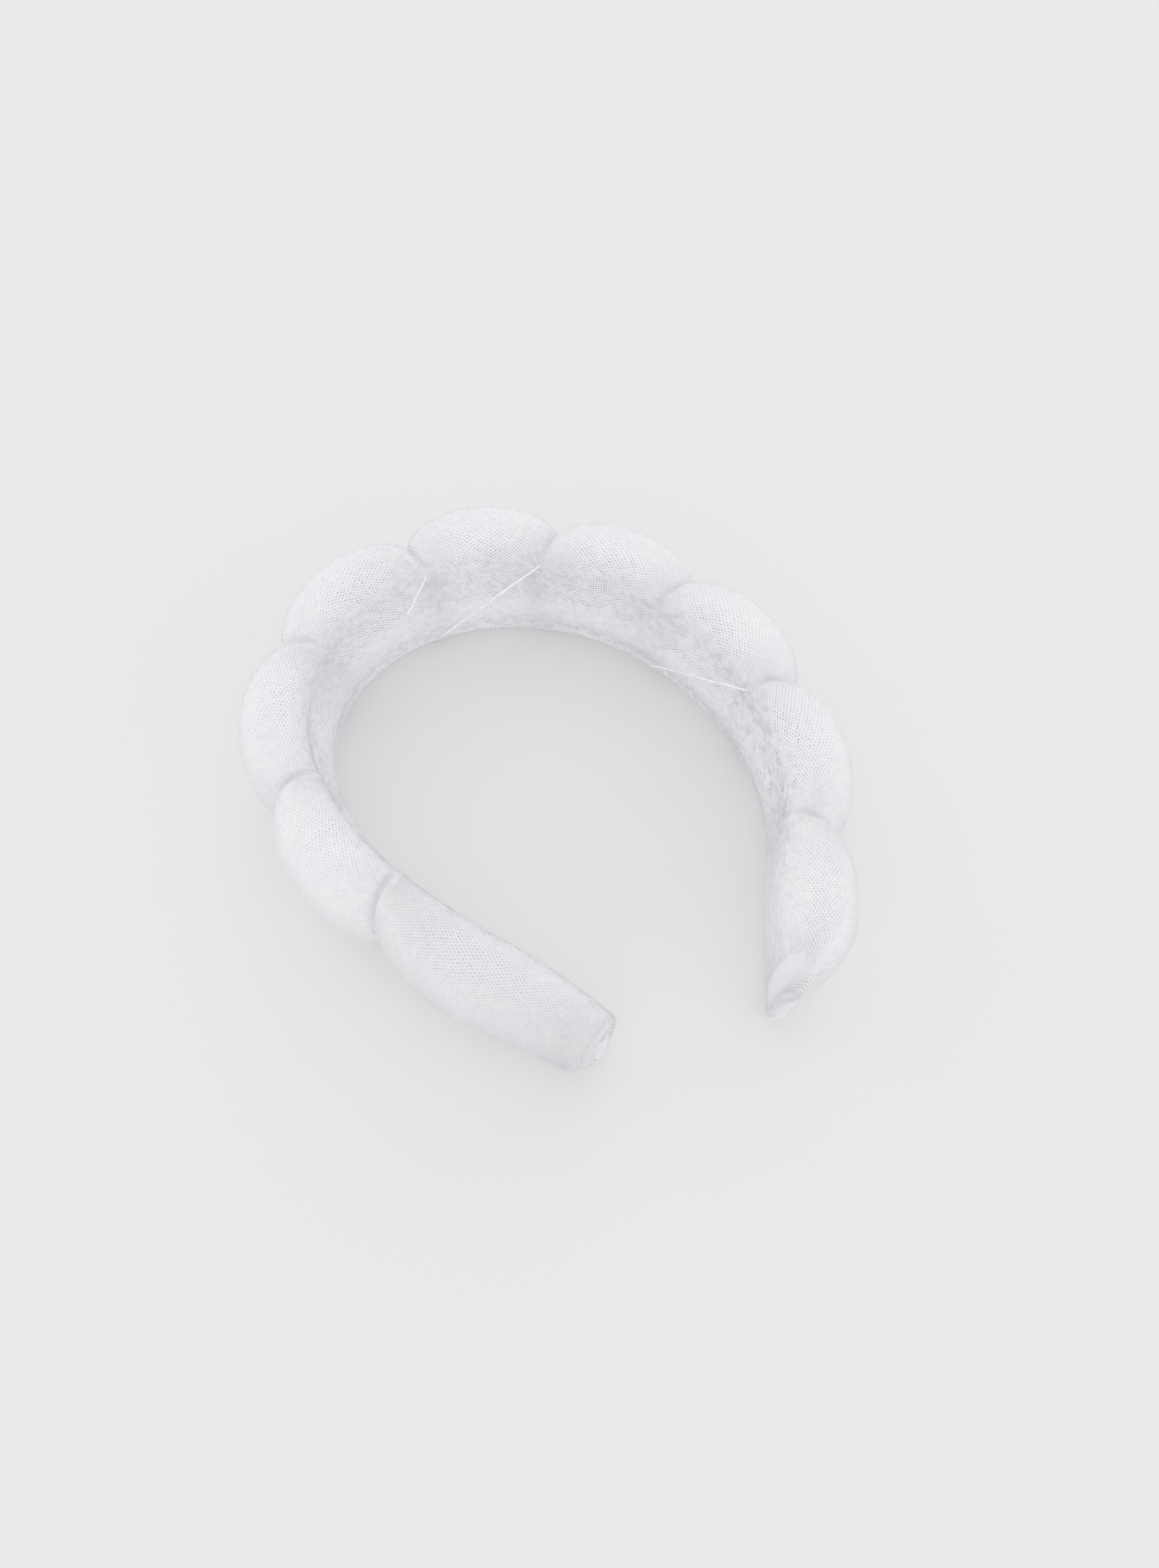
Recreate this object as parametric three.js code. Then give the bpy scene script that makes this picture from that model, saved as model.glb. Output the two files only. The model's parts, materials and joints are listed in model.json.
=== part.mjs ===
// Padded bubble headband, lying on its side on a flat surface.
//
// A springy plastic hoop runs inside a long foam pad, and a terry sleeve covers both.
// One clear nylon line is wound tightly round the sleeve and pinches it into nine lobes.
// Units are millimetres. +Z is up, along the depth of the band, and +Y points to the crown.
//
// The hoop bends a little at every pinch, so each lobe is built as a rigid group of its own:
// sleeve, foam, hoop and line are divided at the pinches, with clearance for the bending.

import * as THREE from 'three';

// ---- Driving dimensions ----

// The inner face of the band follows a chain of arcs, from the left tip round to the right tip.
// Each arc has a length and a clockwise turn in degrees; a negative turn flares outwards.
const LEFT_END_ARCS = [{ length: 30, turn: -10 }, { length: 30, turn: 10 }];
const RIGHT_END_ARCS = [{ length: 21, turn: -3 }, { length: 21, turn: -10 }];
const MIDDLE_LOBE_LENGTH = 34;
const MIDDLE_LOBE_TURNS = [23, 49, 48, 31, 29, 25, 34];
const LOBES_LEFT_OF_CROWN = 4; // the pinch after these lobes is the crown, where the band heads along +X

// Cross-section: thickness is measured outwards from the inner face, depth along Z.
const PINCH = { thickness: 14, depth: 36 };
const LOBE = { thickness: 22, depth: 46 };
const SQUARENESS = 2.9; // superellipse exponent: 2 is an ellipse, larger is boxier
const REST_SINK = 1.5; // the pad is pressed flat by this much where it lies on the surface
const LOBE_FULLNESS = 2.3; // how soon a lobe reaches its full size after a pinch: 2 is an ellipse

// Tips: the section shrinks from taperFrom (share of the end lobe) to the end, then rounds off.
const LEFT_TIP = { thickness: 15, depth: 36, taperFrom: 0.3, taperPower: 1.6, round: 6 };
const RIGHT_TIP = { thickness: 8, depth: 32, taperFrom: 0.45, taperPower: 2.2, round: 5 };
const TIP_END_SHARE = 0.75; // the flat end face is this share of the section it closes
const END_LOBE_SWELL = 0.42; // share of an end lobe over which it swells to its full size

// Layers from outside to inside.
const SLEEVE_WALL = 1.6;
const HOOP_WALL = 1.6;
const HOOP_WIDTH = 20;
const HOOP_BEHIND_FACE = 2.7; // the sleeve's inner face is slightly crowned, so the hoop sits well behind it
const LINE_DIAMETER = 0.5;
const STITCH_DIAMETER = 0.4;
const GAP = 0.3; // clearance between touching pieces

// Room for bending at the pinches.
const PINCH_HALF_GAP = 0.8; // sleeve and foam stop this far from the pinch plane
const HOOP_HALF_GAP = 0.3;
const FLEX_DEGREES = 6.5; // the end faces lean back by this much, so that the lobes can swing apart

// Fineness of the solids.
const RING_POINTS = 16;
const LOBE_STEPS = 8;
const END_LOBE_STEPS = 11;
const LINE_SIDES = 6;
const LINE_STEPS_PER_POINT = 2;

// ---- Materials ----

const terry = { color: 0xe8e6eb, roughness: 0.95, metalness: 0 };
const foam = { color: 0xf0e9d2, roughness: 0.9, metalness: 0 };
const hoopPlastic = { color: 0xf4f4f2, roughness: 0.45, metalness: 0 };
const nylon = { color: 0xf2f2f4, roughness: 0.2, metalness: 0 };
const thread = { color: 0xe4e2e6, roughness: 0.7, metalness: 0 };

// ---- The hoop's curve ----

const lobeArcs = [
  LEFT_END_ARCS,
  ...MIDDLE_LOBE_TURNS.map((turn) => [{ length: MIDDLE_LOBE_LENGTH, turn }]),
  RIGHT_END_ARCS,
];
const LOBE_COUNT = lobeArcs.length;
const sum = (values) => values.reduce((total, value) => total + value, 0);
const lobeLengths = lobeArcs.map((arcs) => sum(arcs.map((arc) => arc.length)));
const lobeTurns = lobeArcs.map((arcs) => sum(arcs.map((arc) => arc.turn)));

// edges[i] is where lobe i begins along the hoop; edges[i] and edges[i + 1] bound it.
const edges = [0];
for (const length of lobeLengths) edges.push(edges.at(-1) + length);
const HOOP_LENGTH = edges.at(-1);

// The heading turns clockwise along the hoop and passes zero, along +X, at the crown pinch.
const START_HEADING = sum(lobeTurns.slice(0, LOBES_LEFT_OF_CROWN));
const arcStarts = [];
let arcStart = { s: 0, x: 0, y: 0, heading: THREE.MathUtils.degToRad(START_HEADING) };
for (const arc of lobeArcs.flat()) {
  const turn = THREE.MathUtils.degToRad(arc.turn);
  arcStarts.push({ ...arcStart, rate: turn / arc.length, end: arcStart.s + arc.length });
  arcStart = { ...alongArc(arcStarts.at(-1), arc.length), s: arcStart.s + arc.length };
}

// The point and heading a distance further along one arc.
function alongArc(arc, distance) {
  const heading = arc.heading - arc.rate * distance;
  const chord = arc.rate === 0
    ? distance
    : (2 / arc.rate) * Math.sin((arc.rate * distance) / 2);
  const chordHeading = (arc.heading + heading) / 2;
  return {
    x: arc.x + chord * Math.cos(chordHeading),
    y: arc.y + chord * Math.sin(chordHeading),
    heading,
  };
}

// The inner face's point at a distance s from the left tip, with its forward and outward directions.
function hoopAt(s) {
  const arc = arcStarts.find((candidate) => s <= candidate.end) ?? arcStarts.at(-1);
  const { x, y, heading } = alongArc(arc, s - arc.s);
  return {
    point: new THREE.Vector3(x, y, 0),
    forward: new THREE.Vector3(Math.cos(heading), Math.sin(heading), 0),
    outward: new THREE.Vector3(-Math.sin(heading), Math.cos(heading), 0),
  };
}

// A point given by its distance along the hoop, its distance outwards and its height.
function hoopPoint(s, out, z) {
  const { point, outward } = hoopAt(s);
  return point.addScaledVector(outward, out).setZ(z);
}

// ---- The lobes' outer shape ----

const mix = THREE.MathUtils.lerp;
const clamp01 = (value) => THREE.MathUtils.clamp(value, 0, 1);

// How full the pad is between two pinches: 0 at a pinch, 1 at the middle of a lobe.
const fullness = (share) => Math.sqrt(clamp01(1 - Math.abs(2 * share - 1) ** LOBE_FULLNESS));

// Thickness, depth and middle height of the pad at a distance s along the hoop.
function sectionAt(s, lobe) {
  const share = clamp01((s - edges[lobe]) / lobeLengths[lobe]);
  if (lobe === 0) return endSection(1 - share, LEFT_TIP, lobeLengths[lobe]);
  if (lobe === LOBE_COUNT - 1) return endSection(share, RIGHT_TIP, lobeLengths[lobe]);
  const full = fullness(share);
  return {
    thickness: mix(PINCH.thickness, LOBE.thickness, full),
    depth: mix(PINCH.depth, LOBE.depth, full),
    middle: LOBE.depth / 2 - REST_SINK,
  };
}

// An end lobe swells from its pinch (share 0), tapers towards its tip and rounds off (share 1).
function endSection(share, tip, length) {
  const full = share < END_LOBE_SWELL ? fullness(share / (2 * END_LOBE_SWELL)) : 1;
  const taper = clamp01((share - tip.taperFrom) / (1 - tip.taperFrom)) ** tip.taperPower;
  const envelopeDepth = mix(LOBE.depth, tip.depth, taper);
  const intoRound = clamp01(((share - 1) * length) / tip.round + 1);
  const close = mix(1, TIP_END_SHARE, 1 - Math.sqrt(1 - intoRound ** 2));
  const thickness = mix(mix(PINCH.thickness, LOBE.thickness, full), tip.thickness, taper);
  const depth = mix(mix(PINCH.depth, LOBE.depth, full), tip.depth, taper);
  return {
    thickness: thickness * close,
    depth: depth * close,
    middle: envelopeDepth / 2 - REST_SINK,
  };
}

// A superellipse's coordinate for the cosine or sine of its angle.
const squarish = (value) => Math.sign(value) * Math.abs(value) ** (2 / SQUARENESS);

// One closed ring of the pad's section at s. inset shrinks it on every side, and flatFrom cuts its
// inner side off flat, where it bears on the hoop. lean tips the ring about the hoop by a share of
// FLEX_DEGREES.
function padRing(s, lobe, { inset = 0, flatFrom = 0, lean = 0 }) {
  const { thickness, depth, middle } = sectionAt(s, lobe);
  const { point, forward, outward } = hoopAt(s);
  const slope = lean * Math.tan(THREE.MathUtils.degToRad(FLEX_DEGREES));
  const ring = [];
  for (let k = 0; k < RING_POINTS; k += 1) {
    const angle = (2 * Math.PI * k) / RING_POINTS;
    const across = (squarish(Math.cos(angle)) + 1) / 2;
    const out = Math.max(mix(inset, thickness - inset, across), flatFrom);
    const height = middle + squarish(Math.sin(angle)) * (depth / 2 - inset);
    ring.push(
      point.clone()
        .addScaledVector(outward, out)
        .addScaledVector(forward, -slope * out)
        .setZ(Math.max(height, inset)),
    );
  }
  return ring;
}

// The rings of one lobe, from its beginning to its end, closer together near its ends.
// Faces at a pinch lean away from it; a tip's end does not. An inner layer leaves out
// the first few rings at a tip, so that it ends inside the layer round it.
function padRings(lobe, options, leftOutAtTip) {
  const isFirst = lobe === 0;
  const isLast = lobe === LOBE_COUNT - 1;
  const from = edges[lobe] + (isFirst ? 0 : PINCH_HALF_GAP);
  const to = edges[lobe + 1] - (isLast ? 0 : PINCH_HALF_GAP);
  const steps = isFirst || isLast ? END_LOBE_STEPS : LOBE_STEPS;
  const rings = [];
  for (let k = 0; k <= steps; k += 1) {
    const side = -Math.cos((Math.PI * k) / steps); // -1 at the beginning, 1 at the end
    const leanable = side < 0 ? !isFirst : !isLast;
    const lean = leanable ? side ** 3 : 0;
    rings.push(padRing(mix(from, to, (side + 1) / 2), lobe, { ...options, lean }));
  }
  return rings.slice(isFirst ? leftOutAtTip : 0, rings.length - (isLast ? leftOutAtTip : 0));
}

// ---- Solids from rings ----

// A triangle mesh collected ring by ring.
class Skin {
  constructor() {
    this.positions = [];
    this.indices = [];
  }

  addRing(ring) {
    const first = this.positions.length / 3;
    for (const point of ring) this.positions.push(point.x, point.y, point.z);
    return { first, count: ring.length, ring };
  }

  // The band of faces between two rings, facing out when b lies ahead of a.
  join(a, b) {
    for (let k = 0; k < a.count; k += 1) {
      const next = (k + 1) % a.count;
      this.indices.push(a.first + k, a.first + next, b.first + next);
      this.indices.push(a.first + k, b.first + next, b.first + k);
    }
  }

  joinAll(rings) {
    for (let k = 1; k < rings.length; k += 1) this.join(rings[k - 1], rings[k]);
  }

  // A flat end that closes a ring, facing forwards or backwards.
  cap(added, facesForward) {
    const centre = new THREE.Vector3();
    for (const point of added.ring) centre.add(point);
    centre.divideScalar(added.count);
    const middle = this.positions.length / 3;
    this.positions.push(centre.x, centre.y, centre.z);
    for (let k = 0; k < added.count; k += 1) {
      const next = added.first + ((k + 1) % added.count);
      const here = added.first + k;
      if (facesForward) this.indices.push(middle, here, next);
      else this.indices.push(middle, next, here);
    }
  }

  geometry() {
    const geometry = new THREE.BufferGeometry();
    geometry.setAttribute('position', new THREE.Float32BufferAttribute(this.positions, 3));
    geometry.setIndex(this.indices);
    geometry.computeVertexNormals();
    return geometry;
  }
}

// A solid bar through the rings.
function solidThrough(rings) {
  const skin = new Skin();
  const added = rings.map((ring) => skin.addRing(ring));
  skin.joinAll(added);
  skin.cap(added[0], false);
  skin.cap(added.at(-1), true);
  return skin.geometry();
}

// A hollow sleeve: open at both ends, or closed at its beginning or its end.
function shellBetween(outerRings, innerRings, closed) {
  const skin = new Skin();
  const outer = outerRings.map((ring) => skin.addRing(ring));
  const inner = innerRings.map((ring) => skin.addRing(ring));
  skin.joinAll(outer);
  skin.joinAll([...inner].reverse());
  if (closed === 'beginning') {
    skin.cap(outer[0], false);
    skin.cap(inner[0], true);
  } else {
    skin.join(inner[0], outer[0]);
  }
  if (closed === 'end') {
    skin.cap(outer.at(-1), true);
    skin.cap(inner.at(-1), false);
  } else {
    skin.join(outer.at(-1), inner.at(-1));
  }
  return skin.geometry();
}

// A round line swept along points on the band.
function lineThrough(points, diameter) {
  const curve = new THREE.CatmullRomCurve3(points, false, 'centripetal');
  const profile = new THREE.Shape();
  for (let k = 0; k < LINE_SIDES; k += 1) {
    const angle = (2 * Math.PI * k) / LINE_SIDES;
    const x = (diameter / 2) * Math.cos(angle);
    const y = (diameter / 2) * Math.sin(angle);
    if (k === 0) profile.moveTo(x, y);
    else profile.lineTo(x, y);
  }
  profile.closePath();
  const steps = LINE_STEPS_PER_POINT * points.length;
  return new THREE.ExtrudeGeometry(profile, { steps, extrudePath: curve });
}

// ---- Pieces ----

function sleeveLobe(lobe) {
  const closed = lobe === 0 ? 'beginning' : lobe === LOBE_COUNT - 1 ? 'end' : 'neither';
  const outer = padRings(lobe, { inset: 0 }, 0);
  const inner = padRings(lobe, { inset: SLEEVE_WALL }, 1);
  return shellBetween(outer, inner, closed);
}

function foamLobe(lobe) {
  const inset = SLEEVE_WALL + 2 * GAP;
  const flatFrom = HOOP_BEHIND_FACE + HOOP_WALL + GAP;
  return solidThrough(padRings(lobe, { inset, flatFrom }, 2));
}

// The hoop's strip stands on edge behind the inner face and stops short of the tips.
const HOOP_TIP_INSET = 12;

function hoopSegment(lobe) {
  const isFirst = lobe === 0;
  const isLast = lobe === LOBE_COUNT - 1;
  const from = edges[lobe] + (isFirst ? HOOP_TIP_INSET : HOOP_HALF_GAP);
  const to = edges[lobe + 1] - (isLast ? HOOP_TIP_INSET : HOOP_HALF_GAP);
  const inside = HOOP_BEHIND_FACE;
  const outside = inside + HOOP_WALL;
  const rings = [];
  for (let k = 0; k <= LOBE_STEPS; k += 1) {
    const s = mix(from, to, k / LOBE_STEPS);
    const { middle } = sectionAt(s, lobe);
    const low = middle - HOOP_WIDTH / 2;
    const high = middle + HOOP_WIDTH / 2;
    rings.push([
      hoopPoint(s, outside, low),
      hoopPoint(s, outside, high),
      hoopPoint(s, inside, high),
      hoopPoint(s, inside, low),
    ]);
  }
  return solidThrough(rings);
}

// One turn of the line: round the outside of the pinch after the lobe, from the lower edge to the
// upper edge, then down across the lobe's inner face to the pinch before it.
const LINE_CORNER = THREE.MathUtils.degToRad(140); // where the turn leaves the pinch, from straight out
const TURN_POINTS = 14;
const CROSSING_POINTS = 6;

function bindingLine(lobe) {
  const pinch = edges[lobe + 1];
  const middle = LOBE.depth / 2 - REST_SINK;
  const offset = LINE_DIAMETER / 2 + GAP;
  const points = [];
  for (let k = 0; k <= TURN_POINTS; k += 1) {
    const angle = mix(-LINE_CORNER, LINE_CORNER, k / TURN_POINTS);
    const across = (squarish(Math.cos(angle)) + 1) / 2;
    const out = mix(-offset, PINCH.thickness + offset, across);
    const height = squarish(Math.sin(angle)) * (PINCH.depth / 2 + offset);
    points.push(hoopPoint(pinch, out, middle + height));
  }
  if (lobe > 0) {
    const upper = squarish(Math.sin(LINE_CORNER)) * (PINCH.depth / 2 + offset);
    const length = lobeLengths[lobe] - LINE_DIAMETER - GAP;
    for (let k = 1; k <= CROSSING_POINTS; k += 1) {
      const share = k / CROSSING_POINTS;
      const s = pinch - length * share;
      points.push(hoopPoint(s, -offset, middle + mix(upper, -upper, share)));
    }
  }
  return lineThrough(points, LINE_DIAMETER);
}

// Hand stitches that close the sleeve's end: one thread that zigzags up the end face.
const STITCH_TURNS = 6;
const STITCH_REACH = 0.2; // to each side of the middle, as a share of the end face's thickness
const STITCH_RISE = 0.62; // from the lowest to the highest stitch, as a share of the end face's depth

function endStitch(lobe) {
  const isFirst = lobe === 0;
  const s = isFirst ? 0 : HOOP_LENGTH;
  const { thickness, depth, middle } = sectionAt(s, lobe);
  const { forward } = hoopAt(s);
  const proud = (isFirst ? -1 : 1) * (GAP + STITCH_DIAMETER / 2);
  const reach = thickness * STITCH_REACH;
  const rise = depth * STITCH_RISE;
  const points = [];
  for (let k = 0; k <= 2 * STITCH_TURNS; k += 1) {
    const out = thickness / 2 + (k % 2 === 0 ? -reach : reach);
    const height = middle + rise * (k / (2 * STITCH_TURNS) - 0.5);
    points.push(hoopPoint(s, out, height).addScaledVector(forward, proud));
  }
  return lineThrough(points, STITCH_DIAMETER);
}

// ---- The band ----

const band = new THREE.Group();

function addPiece(name, geometry, look) {
  const mesh = new THREE.Mesh(geometry, new THREE.MeshStandardMaterial(look));
  mesh.name = name;
  band.add(mesh);
}

for (let lobe = 0; lobe < LOBE_COUNT; lobe += 1) {
  const number = lobe + 1;
  addPiece(`sleeve_lobe_${number}`, sleeveLobe(lobe), terry);
  addPiece(`foam_lobe_${number}`, foamLobe(lobe), foam);
  addPiece(`hoop_segment_${number}`, hoopSegment(lobe), hoopPlastic);
  if (number < LOBE_COUNT) addPiece(`binding_line_${number}`, bindingLine(lobe), nylon);
}
addPiece('end_stitch_left', endStitch(0), thread);
addPiece('end_stitch_right', endStitch(LOBE_COUNT - 1), thread);

// The origin is at the middle of the band's footprint, on the surface it lies on.
const footprint = new THREE.Box3().setFromObject(band);
const centre = footprint.getCenter(new THREE.Vector3());
band.position.set(-centre.x, -centre.y, -footprint.min.z);

export default band;
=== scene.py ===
import json
import math

import bpy
import numpy as np
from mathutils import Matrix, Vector


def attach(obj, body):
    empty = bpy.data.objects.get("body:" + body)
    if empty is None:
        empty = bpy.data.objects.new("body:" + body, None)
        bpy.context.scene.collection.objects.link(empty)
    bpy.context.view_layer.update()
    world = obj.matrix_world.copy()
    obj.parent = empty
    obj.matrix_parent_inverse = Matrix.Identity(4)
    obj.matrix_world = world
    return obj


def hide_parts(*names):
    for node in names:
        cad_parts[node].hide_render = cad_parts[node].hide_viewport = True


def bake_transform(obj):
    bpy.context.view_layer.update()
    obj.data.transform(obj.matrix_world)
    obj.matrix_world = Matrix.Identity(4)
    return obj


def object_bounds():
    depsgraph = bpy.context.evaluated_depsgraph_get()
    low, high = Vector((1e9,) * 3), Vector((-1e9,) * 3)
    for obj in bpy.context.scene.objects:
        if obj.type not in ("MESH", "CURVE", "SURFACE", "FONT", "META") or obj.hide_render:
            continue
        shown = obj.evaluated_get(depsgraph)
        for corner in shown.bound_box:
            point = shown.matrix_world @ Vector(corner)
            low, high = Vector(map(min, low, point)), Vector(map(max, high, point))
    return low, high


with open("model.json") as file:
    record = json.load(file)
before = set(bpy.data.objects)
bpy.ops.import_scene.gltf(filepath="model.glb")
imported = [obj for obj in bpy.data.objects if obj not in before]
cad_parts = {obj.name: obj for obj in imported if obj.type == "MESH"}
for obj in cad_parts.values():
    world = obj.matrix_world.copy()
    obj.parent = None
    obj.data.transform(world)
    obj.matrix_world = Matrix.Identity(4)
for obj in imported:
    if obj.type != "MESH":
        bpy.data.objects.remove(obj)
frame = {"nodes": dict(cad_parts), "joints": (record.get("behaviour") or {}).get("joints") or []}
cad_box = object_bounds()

MM = 0.001

# ---- The band's driving dimensions, as in the CAD model ----

# The inner face follows arcs, each with its length and its clockwise turn in degrees.
LEFT_END_ARCS = [(30 * MM, -10), (30 * MM, 10)]
RIGHT_END_ARCS = [(21 * MM, -3), (21 * MM, -10)]
MIDDLE_LOBE_LENGTH = 34 * MM
MIDDLE_LOBE_TURNS = [23, 49, 48, 31, 29, 25, 34]
LOBES_LEFT_OF_CROWN = 4
HINGE_BEHIND_FACE = 3.5 * MM
REST_SINK = 1.5 * MM

PINCH_THICKNESS, PINCH_DEPTH = 14 * MM, 36 * MM
LOBE_THICKNESS, LOBE_DEPTH = 22 * MM, 46 * MM
SLEEVE_GIRTH = 118 * MM

# Each end lobe swells over a share of its length, tapers from another share on, and rounds off.
LEFT_TIP = dict(
    thickness=16 * MM,
    depth=36 * MM,
    swell=0.6,
    taper_from=0.3,
    taper_power=1.6,
    round=4 * MM,
)
RIGHT_TIP = dict(
    thickness=8 * MM,
    depth=32 * MM,
    swell=0.42,
    taper_from=0.45,
    taper_power=3.0,
    round=3 * MM,
)
TIP_END_SHARE = 0.84
TIP_THINNING = 0.9
TIP_BULGE = 1.6 * MM

# The foam is uneven: how much thicker each lobe is than an even one.
EXTRA_STUFFING = [0.0, 0.0, 0.0, 0.3 * MM, 1.8 * MM, 1.0 * MM, 1.5 * MM, 0.8 * MM, 0.5 * MM]

# The line was wound a little askew: how far each pinch's inner side leads its middle, to the right.
PINCH_LEANS = [0.0, -1.0 * MM, 1.5 * MM, 2.0 * MM, -2.5 * MM, -2.5 * MM, -2.5 * MM, -1.0 * MM]

LINE_DIAMETER = 0.5 * MM
STITCH_DIAMETER = 0.4 * MM

lobe_arcs = [LEFT_END_ARCS]
lobe_arcs += [[(MIDDLE_LOBE_LENGTH, turn)] for turn in MIDDLE_LOBE_TURNS]
lobe_arcs += [RIGHT_END_ARCS]
LOBES = len(lobe_arcs)
lobe_lengths = [sum(length for length, _ in arcs) for arcs in lobe_arcs]
edges = np.concatenate([[0], np.cumsum(lobe_lengths)])
hinges = {joint["name"]: joint for joint in frame["joints"]}


# ---- The hoop's curve, placed on the frame's crown hinge ----


def walk_arcs():
    """The start, heading and turning rate of each arc, from the left tip to the right tip."""
    heading = math.radians(sum(turn for arcs in lobe_arcs[:LOBES_LEFT_OF_CROWN] for _, turn in arcs))
    x = y = s = 0.0
    rows = []
    for length, turn in [arc for arcs in lobe_arcs for arc in arcs]:
        rate = math.radians(turn) / length
        rows.append((s, x, y, heading, rate))
        chord = 2 / rate * math.sin(rate * length / 2)
        x += chord * math.cos(heading - rate * length / 2)
        y += chord * math.sin(heading - rate * length / 2)
        heading -= rate * length
        s += length
    return np.array(rows)


ARCS = walk_arcs()


def hoop_at(s, origin=(0.0, 0.0)):
    """Points on the inner face at distances s from the left tip, with forward and outward directions."""
    s = np.atleast_1d(np.asarray(s, float))
    row = np.clip(np.searchsorted(ARCS[:, 0], s, side="right") - 1, 0, len(ARCS) - 1)
    start, x, y, heading, rate = ARCS[row].T
    along = s - start
    chord = 2 / rate * np.sin(rate * along / 2)
    chord_heading = heading - rate * along / 2
    end_heading = heading - rate * along
    point = np.stack([x + chord * np.cos(chord_heading), y + chord * np.sin(chord_heading)], 1)
    forward = np.stack([np.cos(end_heading), np.sin(end_heading)], 1)
    outward = np.stack([-forward[:, 1], forward[:, 0]], 1)
    return point + np.array(origin), forward, outward


CROWN = edges[LOBES_LEFT_OF_CROWN]
crown_point, _, crown_outward = hoop_at(CROWN)
crown_hinge = np.array(hinges[f"pinch_{LOBES_LEFT_OF_CROWN}_flex"]["pos_m"][:2])
ORIGIN = crown_hinge - HINGE_BEHIND_FACE * crown_outward[0] - crown_point[0]


def band_points(s, out, z):
    """Points in the part's frame, from distances along the hoop, distances outwards and heights."""
    point, _, outward = hoop_at(s, ORIGIN)
    flat = point + outward * np.asarray(out, float).reshape(-1, 1)
    return np.column_stack([flat, np.broadcast_to(np.asarray(z, float), len(flat))])


# ---- The pad's section along the band ----


def mix(a, b, share):
    return a + (b - a) * share


# How flat a lobe's middle is, and how round its shoulders are.
LOBE_FLATNESS, SHOULDER_ROUNDNESS = 2.4, 0.62


def fullness(share):
    """0 at a pinch, 1 at the middle of a lobe."""
    return np.clip(1 - np.abs(2 * share - 1) ** LOBE_FLATNESS, 0, 1) ** SHOULDER_ROUNDNESS


def end_section(share, tip, length):
    """Thickness, depth, middle height and fullness in an end lobe, at shares of the way to its tip."""
    full = np.where(share < tip["swell"], fullness(share / tip["swell"] / 2), 1.0)
    taper = np.clip((share - tip["taper_from"]) / (1 - tip["taper_from"]), 0, 1) ** tip["taper_power"]
    envelope = mix(LOBE_DEPTH, tip["depth"], taper)
    into_round = np.clip((share - 1) * length / tip["round"] + 1, 0, 1)
    close = mix(1, TIP_END_SHARE, 1 - np.sqrt(1 - into_round**2))
    thickness = mix(mix(PINCH_THICKNESS, LOBE_THICKNESS, full), tip["thickness"], taper)
    depth = mix(mix(PINCH_DEPTH, LOBE_DEPTH, full), tip["depth"], taper)
    return thickness * mix(1, close, TIP_THINNING), depth * close, envelope / 2 - REST_SINK, full


def section_at(s):
    """Thickness, depth, middle height and fullness at distances s."""
    s = np.asarray(s, float)
    lobe = np.clip(np.searchsorted(edges, s, side="right") - 1, 0, LOBES - 1)
    share = (s - edges[lobe]) / np.array(lobe_lengths)[lobe]
    full = fullness(share)
    thickness = mix(PINCH_THICKNESS, LOBE_THICKNESS, full)
    depth = mix(PINCH_DEPTH, LOBE_DEPTH, full)
    middle = np.full_like(s, LOBE_DEPTH / 2 - REST_SINK)
    for end, tip, tip_share in ((0, LEFT_TIP, 1 - share), (LOBES - 1, RIGHT_TIP, share)):
        here = lobe == end
        values = end_section(tip_share[here], tip, lobe_lengths[end])
        thickness[here], depth[here], middle[here], full[here] = values
    return thickness, depth, middle, full


def squarish(value, exponent):
    return np.sign(value) * np.abs(value) ** (2 / exponent)


# Corners of the section, as superellipse exponents: 2 is an ellipse, more is boxier.
PINCH_CORNERS, LOBE_CORNERS, INNER_CORNERS = 2.0, 2.2, 2.5

# The line draws in the outside of a pinch much more than the inside, which the hoop holds out.
HELD_OUT_INSIDE = 0.75

# The inner face dips above and below the hoop, where the sleeve hangs between its edge and the foam.
UPPER_DIP = dict(height=9.5 * MM, depth=2.2 * MM, width=6.5 * MM)
LOWER_DIP = dict(height=-12.5 * MM, depth=0.8 * MM, width=4.0 * MM)
DIPS_FADE_IN = 80 * MM
DIPS_REACH_OUT = 0.4

# Along the right arm the foam has slipped outwards, which sets the inner face back.
RIGHT_SET_BACK = 1.5 * MM


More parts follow.
